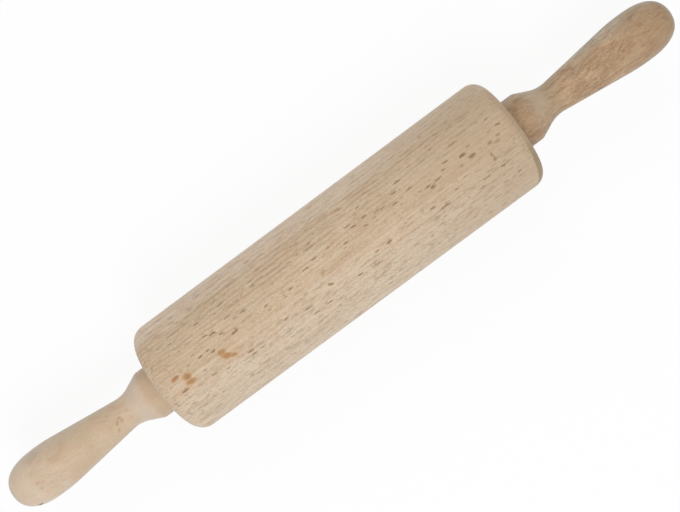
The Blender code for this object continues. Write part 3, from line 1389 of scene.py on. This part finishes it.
@dataclass(frozen=True)
class RunningGear:
    """The axle with the bushes and washers that run on it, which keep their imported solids."""

    steel: DrawnSteelFinish = DrawnSteelFinish()
    zinc: ZincFinish = ZincFinish()
    nylon: NylonFinish = NylonFinish()

    def dress(self, nodes: Mapping[str, bpy.types.Object]) -> list[str]:
        """Give each solid its finish.

        Args:
            nodes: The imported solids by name.

        Returns:
            The names of the pieces that were dressed.
        """
        nylon, zinc = self.nylon.material(), self.zinc.material()
        finishes = {"axle_rod": self.steel.material()}
        for end in End:
            side = end.name.lower()
            finishes[f"{side}_bush"] = nylon
            finishes[f"{side}_washer"] = zinc
        for name, material in finishes.items():
            nodes[name].material_slots[0].material = material
        return sorted(finishes)


# The studio and the camera


def seen_directly(bench: Bench) -> Term:
    """Tell what the camera sees from what lights the pin.

    Args:
        bench: The bench to build on.

    Returns:
        1 for a ray from the camera, also by way of gloss or glass, and 0 for any other.
    """
    rays = bench.node("ShaderNodeLightPath").outputs
    straight = Term(bench, rays["Is Camera Ray"])
    return straight.most(rays["Is Glossy Ray"]).most(rays["Is Transmission Ray"])


@dataclass(frozen=True)
class Softbox:
    """A large soft lamp, by its place, its width and its power."""

    name: str
    place: Triple
    width: float
    power: float
    colour: Colour = WHITE

    def hang(self) -> None:
        """Hang the lamp, turned to the middle of the pin."""
        lamp = bpy.data.lights.new(self.name, "AREA")
        lamp.shape = "DISK"
        lamp.size = self.width
        lamp.energy = self.power
        lamp.color = self.colour
        hung = bpy.data.objects.new(self.name, lamp)
        hung.location = self.place
        hung.rotation_euler = (-Vector(self.place)).to_track_quat("-Z", "Y").to_euler()
        bpy.context.scene.collection.objects.link(hung)


@dataclass(frozen=True)
class Studio:
    """A plain white floor, soft light from all round, and two softboxes.

    floor_glow is the share of plain white in the floor that the camera sees, where the rest shows
    the shadow. sky is how strongly the white all round lights the pin.
    """

    floor_width: float = 8.0
    floor_colour: Colour = (0.90, 0.90, 0.90)
    floor_glow: float = 0.90
    sky: float = 0.585
    softboxes: tuple[Softbox, ...] = (
        Softbox("key_softbox", (-0.28, -0.80, 1.10), 0.8, 8.7, (0.97, 1.0, 1.06)),
        Softbox("back_softbox", (0.25, 1.00, 0.90), 0.9, 4.0),
    )

    def lay_floor(self, level: float) -> None:
        """Lay the floor.

        Args:
            level: Its height.
        """
        half = self.floor_width / 2
        sides = ((-half, -half), (half, -half), (half, half), (-half, half))
        mesh = bpy.data.meshes.new("floor")
        mesh.from_pydata([(*side, level) for side in sides], [], [(0, 1, 2, 3)])
        floor = bpy.data.objects.new("floor", mesh)
        bpy.context.scene.collection.objects.link(floor)
        material, bench = new_material("floor_paper")
        paper = bench.node("ShaderNodeBsdfDiffuse", {"Color": self.floor_colour})
        glow = bench.node("ShaderNodeEmission", {"Color": WHITE, "Strength": 1.0})
        share = seen_directly(bench) * self.floor_glow
        mixed = bench.node("ShaderNodeMixShader", {0: share, 1: paper, 2: glow})
        bench.node("ShaderNodeOutputMaterial", {"Surface": mixed})
        mesh.materials.append(material)
        floor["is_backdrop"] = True

    def light(self) -> None:
        """Set up the sky and hang the softboxes."""
        world = bpy.data.worlds.new("studio")
        bpy.context.scene.world = world
        world.use_nodes = True
        bench = Bench(world.node_tree)
        strength = self.sky + seen_directly(bench) * (1.0 - self.sky)
        sky = bench.node("ShaderNodeBackground", {"Color": WHITE, "Strength": strength})
        bench.node("ShaderNodeOutputWorld", {"Surface": sky})
        for softbox in self.softboxes:
            softbox.hang()


@dataclass(frozen=True)
class Viewpoint:
    """The camera: nearly straight above the pin, turned so that the pin runs up to the right.

    along, side and height are the place of the lens, and aim_along is the place on the pin that
    it looks at, in metres. roll is its turn about the line of sight, in degrees. lens and sensor
    are its focal length and the width of its picture, in millimetres.
    """

    height: float = 0.5559
    along: float = 0.0212
    side: float = -0.0004
    aim_along: float = 0.00119
    roll: float = 36.49
    lens: float = 59.8
    sensor: float = 36.0
    clip: Point = (0.01, 50.0)

    def place_camera(self) -> None:
        """Place the camera and make it the scene's."""
        eye = Vector((self.along, self.side, self.height))
        back = (eye - Vector((self.aim_along, self.side, 0.0))).normalized()
        along = (Vector((1.0, 0.0, 0.0)) - back * back.x).normalized()
        away = back.cross(along)
        turn = math.radians(self.roll)
        right = along * math.cos(turn) - away * math.sin(turn)
        up = along * math.sin(turn) + away * math.cos(turn)
        data = bpy.data.cameras.new("camera")
        data.sensor_width = self.sensor
        data.lens = self.lens
        data.clip_start, data.clip_end = self.clip
        camera = bpy.data.objects.new("camera", data)
        turned = Matrix((right, up, back)).transposed().to_4x4()
        camera.matrix_world = Matrix.Translation(eye) @ turned
        bpy.context.scene.collection.objects.link(camera)
        bpy.context.scene.camera = camera


def main() -> None:
    """Build the pin, its studio and its camera."""
    logging.basicConfig(level=logging.INFO, format="%(message)s")
    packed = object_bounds()
    bpy.context.scene.view_settings.view_transform = "Standard"

    lathe = Lathe()
    for builder in (Barrel(), Handle(End.LEFT), Handle(End.RIGHT)):
        piece = builder.build(lathe)
        LOG.info("%s: %d faces", piece.name, len(piece.data.polygons))
    for name in RunningGear().dress(frame["nodes"]):
        LOG.info("%s: dressed", name)

    studio = Studio()
    studio.lay_floor(packed[0].z)
    studio.light()
    Viewpoint().place_camera()


if __name__ == "__main__":
    main()
